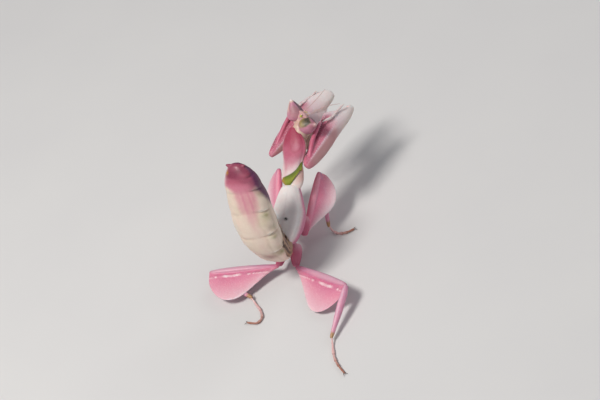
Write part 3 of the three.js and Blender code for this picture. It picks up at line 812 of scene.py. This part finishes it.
def headSection(spot):
    halfWidth = profile(0.95, 1.75, 1.75, 1.3, 0.95, 0.7, 0.55)
    halfDepth = profile(0.62, 0.85, 0.9, 0.82, 0.7, 0.58, 0.4)
    across, over = oval(halfWidth, halfDepth)(spot)
    # the crown draws in behind, between the eyes
    gap = (1 - soft(spot.s, 0.3, 0.5)) * soft(spot.over, 0, 0.5)
    across, over = across * (1 - 0.55 * gap), over * (1 - 0.22 * gap)
    front = soft(-spot.over, 0.1, 0.9)
    ledge = 0.16 * hump(spot.s, 0.6, 0.05) - 0.12 * hump(spot.s, 0.68, 0.02) + 0.12 * hump(spot.s, 0.76, 0.05)
    ledge = ledge - 0.12 * hump(spot.s, 0.84, 0.02) + 0.1 * hump(spot.s, 0.91, 0.04)
    cheek = 0.08 * hump(spot.s, 0.72, 0.1) * hump(np.abs(spot.side), 0.8, 0.25)
    size = 1 + front * ledge + cheek
    return across * size, over * size


def paintHead(spot):
    front = soft(-spot.over, 0.1, 0.9)
    return washed(
        face, spot, "ground",
        ("crown", 1 - soft(spot.s, 0.16, 0.34)),
        ("blush", 0.5 * front * hump(spot.s, 0.45, 0.16)),
        ("mouth", 0.7 * soft(spot.s, 0.62, 0.8)),
        ("maroon", 0.5 * front * (hump(spot.s, 0.68, 0.015) + hump(spot.s, 0.84, 0.015))),
        ("maroon", 0.35 * lengthwise(spot.angle, 90, 4) * (1 - soft(spot.s, 0.1, 0.3))),
        ("maroon", 0.5 * lengthwise(spot.angle, -60, 5) * (1 - soft(spot.s, 0.15, 0.3)))), 0.1


crown = offset(headCentre, head, up=0.68)
addFlesh("headShell", straightPath(crown, -head["up"], body["headHeight"]), head["right"],
         headSection, paintHead, 90, 64)


neckStart = offset(shieldFront, prothorax, ahead=-1.5, right=0.15, up=-1.5)
neckEnd = offset(headCentre, head, ahead=-0.2, up=-0.75)


def neckWave(spot):
    return np.sin(spot.s * 22 + 0.6 * spot.side)


def neckSection(spot):
    radius = 1 + 0.014 * neckWave(spot)
    return spot.side * radius, spot.over * radius


def paintNeck(spot):
    # painted shade: darker in the grooves between the folds
    return washed(face, spot, "neck", ("fold", 0.35 * (0.5 - 0.5 * neckWave(spot)))), 0


addFlesh("neck", np.linspace(neckStart, neckEnd, 30), prothorax["right"], neckSection, paintNeck, 60, 48)
print("head drawn")


# one skin over all of it, with no seam
skinSettings = {"voxel": 0.122, "smoothing": 0.5, "passes": 2}
skin = joined("skin", flesh)
skin.data.remesh_voxel_size = skinSettings["voxel"]
skin.data.remesh_voxel_adaptivity = 0
skin.data.use_remesh_preserve_attributes = True
skin.data.use_remesh_preserve_volume = True
bpy.ops.object.voxel_remesh()
applied(skin, "SMOOTH", factor=skinSettings["smoothing"], iterations=skinSettings["passes"])
print("skin:", len(skin.data.polygons), "faces,", [a.name for a in skin.data.color_attributes])
legNodes = [f"{leg}_{part}" for leg in (*stances, *foreStances) for part in ("coxa", "femur", "tibia")]
settle(skin, "cuticle", skinMaterial, "head", "neck", "mesothorax", "metathorax",
       *(f"abdomen_{i}" for i in range(1, 7)), "cercus_right", "cercus_left", *legNodes)


# eyes: tall cones, mauve, with a dark band in front, a mottled patch towards the crown with the painted shade
# of the pseudopupil in it, and a white point
eyePaint = {"mauve": "#c48aa4", "rim": "#d595a8", "cream": "#ead6c4", "brown": "#7a4b45", "slate": "#4e4b52",
            "gold": "#a59a5c", "olive": "#7f7f4c", "pseudopupilShade": "#2c2d33", "maroon": "#7e2f4c", "point": "#fbf7f4"}


def addEye(name, sign, node):
    tilt = math.radians(eye["tilt"])
    aim = head["right"] * sign * math.sin(tilt) + head["up"] * math.cos(tilt)
    root = offset(headCentre, head, right=sign * eye["spread"], up=-eye["drop"])
    cone = profile(*eye["cone"])
    isLeft = sign < 0
    patchStrength = 0.2 if isLeft else 1

    def section(spot):
        inner = lengthwise(spot.angle * sign, 95, 48) * hump(spot.s, 0.45, 0.3)
        below = lengthwise(spot.angle * sign, 172, 50) * hump(spot.s, 0.32, 0.26)
        below = below * (0.3 if isLeft else 1)
        radius = eye["radius"] * cone(spot.s) * (1 + 0.16 * inner + 0.26 * below)
        return spot.side * radius, spot.over * radius

    def paint(spot):
        turn = spot.angle * sign  # round the cone from the front towards the other eye
        wave = np.sin(np.radians(turn) * 5 + spot.s * 9) + 0.6 * np.sin(np.radians(turn) * 11 - spot.s * 23)
        fleck = np.sin(np.radians(turn) * 31 + 3 * wave) * np.sin(spot.s * 95 + 2 * wave)
        out = np.hypot((turn - 121) / 54, (spot.s - 0.51) / 0.31) + 0.05 * wave
        patch = patchStrength * soft(1.05 - out, 0, 0.42)
        darker = soft(spot.s + 0.08 * (115 - turn) / 60 + 0.03 * wave, 0.33, 0.6)
        upTo = 80 if isLeft else 58
        band = between(turn, 8, 16, upTo - 6, upTo + 4) * soft(spot.s, 0.12, 0.3)
        return washed(
            eyePaint, spot, "mauve",
            ("rim", 0.6 * lengthwise(turn, 185, 75)),
            ("cream", 0.85 * lengthwise(turn, 196, 20) * soft(spot.s, 0.4, 0.65) * isLeft),
            ("brown", 0.85 * lengthwise(turn, 170, 5) * soft(spot.s, 0.5, 0.75) * isLeft),
            ("brown", 0.45 * soft(spot.s, 0.6, 0.85) * (not isLeft)),
            ("slate", 0.9 * band * (0.8 + 0.2 * fleck)),
            ("maroon", 0.8 * hump(turn, 60, 5) * soft(spot.s, 0.05, 0.2)),
            ("maroon", 0.7 * hump(turn, 10, 5) * soft(spot.s, 0.05, 0.2)),
            ("gold", 0.9 * patch),
            ("olive", 0.6 * patch * soft(fleck, 0.0, 0.6)),
            # the pseudopupil's dark spot: painted shade fixed in the patch
            ("pseudopupilShade", 0.92 * patch * darker),
            ("gold", 0.45 * patch * darker * soft(fleck, 0.35, 0.8)),
            ("maroon", 0.7 * hump(turn, 50, 7) * soft(spot.s, 0.25, 0.45) * (not isLeft)),
            ("cream", (0.9 if isLeft else 0.3) * soft(spot.s, 0.86, 0.93)),
            ("point", (1 if isLeft else 0.25) * soft(spot.s, 0.93, 0.97))), 0.25
    piece = layTube(name, straightPath(root, aim, eye["length"]), head["ahead"], section, paint, 128, 144)
    settle(piece, "eye", eyeMaterial, node)


addEye("eyeRight", 1, "eye_right")
addEye("eyeLeft", -1, "eye_left")


# shield: the long plate over the first segment, pink, cut off slantwise behind by a green rim
shield = {"deep": "#a83353", "pink": "#c66c86", "pale": "#e6bfca", "white": "#f4ece9", "green": "#758a22",
          "leaf": "#9da834", "darkOlive": "#4f6420", "ochre": "#b98a2e", "belly": "#e6cdbf",
          "slant": 2.2, "bend": 0.95}


# how far up the green rim reaches, from the left hind corner round to the right
def rimWidth(spot):
    return np.interp(spot.turn, (-100, -60, 0, 38, 60, 80, 100, 130),
                     (0.04, 0.12, 0.2, 0.21, 0.24, 0.28, 0.29, 0.2))


def shieldSlip(spot):
    steep = shield["slant"] * ((1 + spot.side) / 2) ** 3 - 0.15
    return steep * (1 - spot.s) ** 1.5


def shieldSection(spot):
    right = profile(1.6, 1.5, 1.28, 1.4, 1.62, 1.78, 1.7, 1.35, 0.8)
    left = profile(1.95, 1.95, 1.75, 1.65, 1.7, 1.78, 1.7, 1.35, 0.8)
    drop = profile(0.7, 0.85, 1, 1.15, 1.3, 1.35, 1.2, 0.9, 0.5)
    rise = profile(0.8, 0.75, 0.75, 0.85, 0.95, 0.95, 0.9, 0.7, 0.4)
    across, over = oval(right, drop, left, rise)(spot)
    back = soft(-spot.over, 0, 0.5)
    side = np.abs(spot.turn)
    flange = 0.06 * hump(side, 84, 7)
    furrow = 0.018 * hump(side, 70, 7) * back
    sulcus = 0.006 * hump(spot.s + 0.0004 * side, 0.66, 0.02) * back
    lip = 0.05 * hump(spot.s, 0.06, 0.04)
    keel = 0.015 * hump(spot.turn, 0, 7) * soft(spot.s, 0.2, 0.4)
    rim = 0.03 * hump(spot.s, rimWidth(spot), 0.016)
    size = 1 + flange - furrow - sulcus + lip + keel - rim
    return across * size, over * size


def paintShield(spot):
    turn, side = spot.turn, np.abs(spot.turn)
    wave = waves(spot, 14, 6)
    s = spot.s + 0.03 * wave
    back = 1 - soft(side, 84, 100)
    rim = soft(rimWidth(spot) - spot.s + 0.004 * wave, -0.006, 0.008) * soft(140 - turn, 0, 20)
    fromMark = np.hypot((spot.s - 0.65) * 7.75, (turn - 28) * 0.028)
    ring = hump(fromMark, 0.7, 0.14)
    return washed(
        shield, spot, "pink",
        ("deep", 0.85 * soft(s, 0.52, 0.86)),
        ("pale", 0.85 * (1 - soft(s, 0.26, 0.55))),
        ("white", 0.85 * (1 - soft(s, 0.2, 0.42))),
        # a whitish band on the left margin only: a painted highlight
        ("white", 0.7 * hump(turn, -68, 16) * (1 - soft(s, 0.4, 0.75))),
        ("pink", 0.5 * hump(turn, -30, 10) * hump(s, 0.3, 0.16)),
        ("deep", 0.35 * ring),
        ("pale", 0.25 * hump(fromMark, 0, 0.5)),
        ("deep", 0.3 * hump(side, 70, 8) * soft(s, 0.5, 0.8)),
        ("belly", 1 - back),
        ("green", rim),
        ("leaf", 0.8 * rim * hump(spot.s, 0.35 * rimWidth(spot), 0.05)),
        ("darkOlive", 0.6 * rim * hump(spot.s, rimWidth(spot) - 0.02, 0.02)),
        ("ochre", 0.9 * rim * soft(-turn, 25, 60))), 0.12 * back


shieldRear = offset(backFront, prothorax, ahead=-0.35, up=-0.9)
shieldPath = curvedPath(shieldRear,
                        offset(shieldRear, prothorax, ahead=0.55 * body["prothoraxLength"], right=-0.12),
                        offset(shieldFront, prothorax, right=-shield["bend"], up=-0.9))
shieldPiece = layTube("shield", shieldPath, prothorax["right"], shieldSection, paintShield, 160, 144, 0.4,
                      shieldSlip)
settle(shieldPiece, "shield", shieldMaterial, "prothorax")
print("eyes and shield made")


# feet: four swollen segments each, the last with two hooked claws
foot = {"radius": 0.2, "edges": (0, 0.42, 0.62, 0.76, 1.001), "pale": "#e9c9c6", "brown": "#a0674a",
        "ring": "#8a5a48", "forePale": "#ece6e4", "horn": "#4a2c20", "foreHorn": "#e0cfc6",
        "claw": 0.6, "foreClaw": 0.45, "clawRadius": 0.07, "clawBend": 75}


def footSection(walks):
    def section(spot):
        along = within(spot.s, foot["edges"])
        radius = foot["radius"] * (0.72 + 0.42 * along ** 2 - 0.3 * soft(along, 0.92, 1))
        pad = np.where(walks, 1.0 + 0.35 * soft(along, 0.5, 0.9), 1.0)
        return spot.side * radius * np.where(spot.side < 0, pad, 1), spot.over * radius
    return section


def paintFoot(walks):
    def paint(spot):
        rings = sum(hump(spot.s, edge, 0.012) for edge in foot["edges"][1:-1])
        return washed(
            foot, spot, "pale" if walks else "forePale",
            ("brown", soft(spot.s, 0.3, 0.9) * (0.9 if walks else 0.12)),
            ("ring", (0.5 if walks else 0.25) * rings)), 0.05
    return paint


# the soles and claws are pressed flat on the ground
def pressed(piece):
    for vertex in piece.data.vertices:
        vertex.co.z = max(vertex.co.z, 0.0)


# a cone drawn out step by step from a small disc, each step turned and narrowed
def drawHook(name, base, aim, bendAxis, length, radius, bend, colour):
    deselect()
    bpy.ops.mesh.primitive_circle_add(vertices=8, radius=radius, fill_type="NGON", location=base.tolist(),
                                      rotation=Vector(aim.tolist()).to_track_quat("Z", "Y").to_euler())
    hook = bpy.context.object
    hook.name = name
    bpy.ops.object.transform_apply(location=True, rotation=True, scale=True)
    bpy.ops.object.mode_set(mode="EDIT")
    bpy.ops.mesh.select_all(action="SELECT")
    steps, place, heading = 5, Vector(base.tolist()), Vector(aim.tolist())
    for i in range(steps):
        turn = Matrix.Rotation(math.radians(bend / steps), 3, Vector(bendAxis.tolist()))
        heading = turn @ heading
        shift = heading * (length / steps)
        bpy.ops.mesh.extrude_region_move(TRANSFORM_OT_translate={"value": shift})
        place = place + shift
        bpy.ops.transform.resize(value=((1 - 0.13 * (i + 1)),) * 3, center_override=place)
    bpy.ops.mesh.merge(type="CENTER")
    bpy.ops.mesh.select_all(action="SELECT")
    bpy.ops.mesh.normals_make_consistent(inside=False)
    bpy.ops.object.mode_set(mode="OBJECT")
    tinted(hook, np.append(linear(colour), 0.0))
    return hook


def addFoot(name, path):
    walks = name in stances
    side = np.array((0, 0, 1.0)) if walks else foreFrames[name]["palm"]
    piece = layTube(name + "Foot", path, side, footSection(walks), paintFoot(walks), 64, 16)
    aim = unit(path[-1] - path[-6])
    across = unit(np.cross(aim, side))
    hooks = []
    for sign in (1, -1):
        start = path[-3] + across * sign * 0.07 + side * 0.04
        heading = unit(aim + across * sign * 0.55 + side * 0.35)
        hooks.append(drawHook(f"{name}Claw{sign}", start, heading, np.cross(heading, -side),
                              foot["claw" if walks else "foreClaw"], foot["clawRadius"], foot["clawBend"],
                              foot["horn" if walks else "foreHorn"]))
    claws = joined(name + "Claws", hooks)
    applied(claws, "SUBSURF", levels=1, render_levels=1)
    if walks:
        pressed(piece)
        pressed(claws)
    settle(piece, "foot", footMaterial, name + "_tarsus")
    settle(claws, "foot", clawMaterial)


for name, path in footPaths.items():
    addFoot(name, path)
print("feet made")


# spines of the forelegs: a comb along the femur's edge, smaller ones on the tibia, and the tibia's long claw
comb = {"femurSpines": 22, "from": 0.3, "to": 0.9, "long": 0.24, "short": 0.17, "radius": 0.055, "bend": 20,
        "tibiaTeeth": 12, "tooth": 0.2, "toothRadius": 0.045, "toothBend": 15,
        "claw": 1.0, "clawRadius": 0.16, "clawBend": 70, "pale": "#f0d9e0", "tip": "#7a3b45"}


def addSpines(name, limb):
    aim, palm = limb["tibiaAim"], limb["palm"]
    spines = []
    for i in range(comb["femurSpines"]):
        s = comb["from"] + (comb["to"] - comb["from"]) * i / (comb["femurSpines"] - 1)
        centre, wide, thick = frameAt(limb["femur"], palm, s)
        for angle, share in ((foreleg["spineEdge"] + 2, 1.0), (-14, 0.9)):
            side, over = math.cos(math.radians(angle)), math.sin(math.radians(angle))
            spot = SimpleNamespace(s=s, side=side, over=over, angle=float(angle))
            across, over = limb["section"](spot)
            closing = (2 * math.sqrt(s * (1 - s))) ** 0.5
            out = unit(wide * across + thick * over)
            base = centre + (wide * across + thick * over) * closing - out * 0.05
            lean = unit(out + wide * 0.8 + aim * 0.3)
            length = comb["long" if i % 2 else "short"] * share
            spines.append(drawHook(f"{name}Spine{i}{angle}", base, lean, np.cross(lean, wide), length,
                                   comb["radius"] * share, comb["bend"], comb["pale"]))
    for i in range(comb["tibiaTeeth"]):
        s = 0.12 + 0.8 * i / (comb["tibiaTeeth"] - 1)
        centre, wide, thick = frameAt(limb["tibia"], palm, s)
        out = unit(-wide * 0.5 - thick * 0.85)
        base = centre + out * (0.42 - 0.2 * s)
        spines.append(drawHook(f"{name}Tooth{i}", base, unit(out + aim * 0.6), np.cross(out, wide),
                               comb["tooth"], comb["toothRadius"], comb["toothBend"], comb["pale"]))
    _, wide, _ = frameAt(limb["tibia"], palm, 1.0)
    spines.append(drawHook(f"{name}Claw", limb["tibia"][-1] - aim * 0.25, aim, np.cross(aim, -wide),
                           comb["claw"], comb["clawRadius"], comb["clawBend"], comb["tip"]))
    settle(joined(name + "Spines", spines), "cuticle", skinMaterial)


for name, limb in foreFrames.items():
    addSpines(name, limb)
print("spines made")


# feelers: a stout joint at the root, then a bead-jointed thread
feeler = {"root": 0.13, "thread": 0.05, "beads": 150, "pale": "#e3c6c2", "dark": "#a97f74"}


def addFeeler(name, sign, node):
    root = offset(headCentre, head, ahead=0.75, right=sign * 0.42, up=0.25)
    halfway = offset(root, head, ahead=2.5, right=sign * 0.4, up=0.35)
    tip = offset(root, head, ahead=4.75, right=sign * 1.1, up=0.1)

    def section(spot):
        radius = feeler["thread"] * (1 - 0.4 * spot.s) * (1 + 0.12 * np.cos(spot.s * feeler["beads"]))
        radius = radius + (feeler["root"] - feeler["thread"]) * (1 - soft(spot.s, 0.04, 0.1))
        return spot.side * radius, spot.over * radius

    def paint(spot):
        return washed(feeler, spot, "pale", ("dark", 0.35 * (0.5 - 0.5 * np.cos(spot.s * feeler["beads"]))),
                      ("dark", 0.4 * soft(spot.s, 0.2, 0.9))), 0
    path = curvedPath(root - head["ahead"] * 0.2, root, halfway, tip)
    settle(layTube(name, path, head["up"], section, paint, 180, 12), "feeler", footMaterial, node)


addFeeler("feelerRight", 1, "antenna_right")
addFeeler("feelerLeft", -1, "antenna_left")


# small parts of the face: three simple eyes, the crown's knob with its pit and flecks, and the palps
def addBead(name, centre, radius, colour, material=eyeMaterial, slotName="eye"):
    deselect()
    bpy.ops.mesh.primitive_uv_sphere_add(segments=20, ring_count=12, radius=radius, location=centre.tolist())
    bead = bpy.context.object
    bead.name = name
    bpy.ops.object.transform_apply(location=True, rotation=True, scale=True)
    tinted(bead, np.append(linear(face[colour]), 0.2))
    settle(bead, slotName, material)


for i, (right, up) in enumerate(((0, 0.42), (-0.26, 0.18), (0.26, 0.18))):
    addBead(f"ocellus{i}", offset(headCentre, head, ahead=0.72, right=right, up=up), 0.13, "ocellus")
knob = offset(headCentre, head, ahead=-0.4, right=0.06, up=0.5)
outOfCrown = unit(head["up"] - head["ahead"] * 0.8)
addBead("crownKnob", knob, 0.17, "spot", skinMaterial, "cuticle")
addBead("crownPit", knob + outOfCrown * 0.05 + head["ahead"] * 0.2, 0.085, "pit")
addBead("crownFleck", knob + outOfCrown * 0.05 + head["ahead"] * 0.14 + head["up"] * 0.2, 0.07, "fleck")
addBead("crownSpeck", knob + outOfCrown * 0.04 + head["ahead"] * 0.36, 0.055, "fleck")


def paintPalp(spot):
    end = 0.7 * hump(spot.s, 0.5, 0.05) + 0.5 * soft(spot.s, 0.7, 1)
    return washed(face, spot, "palp", ("palpEnd", end)), 0


for name, sign in (("palpRight", 1), ("palpLeft", -1)):
    start = offset(headCentre, head, right=sign * 0.42, ahead=0.15, up=-2.3)
    bend = offset(start, head, right=sign * 0.45, ahead=0.2, up=-0.45)
    end = offset(bend, head, right=-sign * 0.1, ahead=0.35, up=-0.55)
    palp = layTube(name, curvedPath(start, bend, end), head["ahead"], roundTube(0.12, 0.14, 0.09, 0.12, 0.08),
                   paintPalp, 40, 14)
    settle(palp, "cuticle", skinMaterial)
print("face made")


# floor, light and camera
def paleFloor():
    deselect()
    bpy.ops.mesh.primitive_plane_add(size=3, location=(0, 0, 0))
    floor = bpy.context.object
    floor.name = "floor"
    material, tree, surface = newMaterial("paleFloor")
    setSockets(surface, {"Roughness": 0.75})
    place = addNode(tree, "TexCoord")
    cloud = addNode(tree, "TexNoise", {"Scale": 60})
    shade = addNode(tree, "Mix", {"A": (0.66, 0.66, 0.67, 1), "B": (0.7, 0.7, 0.7, 1)}, data_type="RGBA")
    wire(tree, (place, "Object", cloud, "Vector"), (cloud, "Fac", shade, "Factor"),
         (shade, "Result", surface, "Base Color"))
    floor.data.materials.append(material)


def areaLight(name, towards, distance, size, watts, colour):
    deselect()
    target = Vector((0.001, -0.001, 0.008))
    place = target + Vector(towards).normalized() * distance
    bpy.ops.object.light_add(type="AREA", location=place)
    lamp = bpy.context.object
    lamp.name = name
    lamp.rotation_euler = (place - target).to_track_quat("Z", "Y").to_euler()
    lamp.data.size = size
    lamp.data.energy = watts
    lamp.data.color = colour


# each lamp's direction, distance, size, power and colour
lights = {
    "key": ((0.24, 0.4, 0.88), 0.32, 0.08, 0.8, (1.0, 0.96, 0.91)),
    "fill": ((-0.7, 0.9, 0.55), 0.4, 0.3, 0.14, (0.93, 0.96, 1.0)),
    "back": ((-0.5, -0.9, 0.7), 0.36, 0.2, 0.2, (1.0, 0.98, 0.97)),
}
paleFloor()
for name, values in lights.items():
    areaLight(name, *values)

world = bpy.data.worlds.new("studio")
bpy.context.scene.world = world
world.use_nodes = True
setSockets(world.node_tree.nodes["Background"], {"Color": (0.86, 0.88, 0.92, 1), "Strength": 0.25})
bpy.context.scene.view_settings.view_transform = "Standard"

viewing = {"right": (-0.9041, -0.3138, -0.2904), "up": (0.0333, -0.7287, 0.6841),
           "back": (-0.4262, 0.6088, 0.6691), "target": (3.41, -12.77, 0), "distance": 312.5, "lens": 135}
deselect()
bpy.ops.object.camera_add()
camera = bpy.context.object
camera.name = "camera"
turned = Matrix((viewing["right"], viewing["up"], viewing["back"])).transposed()
target = Vector(viewing["target"]) + Vector(middle.tolist())
place = (target + Vector(viewing["back"]) * viewing["distance"]) * mm
camera.matrix_world = Matrix.Translation(place) @ turned.to_4x4()
camera.data.lens = viewing["lens"]
camera.data.sensor_width = 36
camera.data.clip_start = 0.01
camera.data.clip_end = 10
bpy.context.scene.camera = camera
print("stage set")
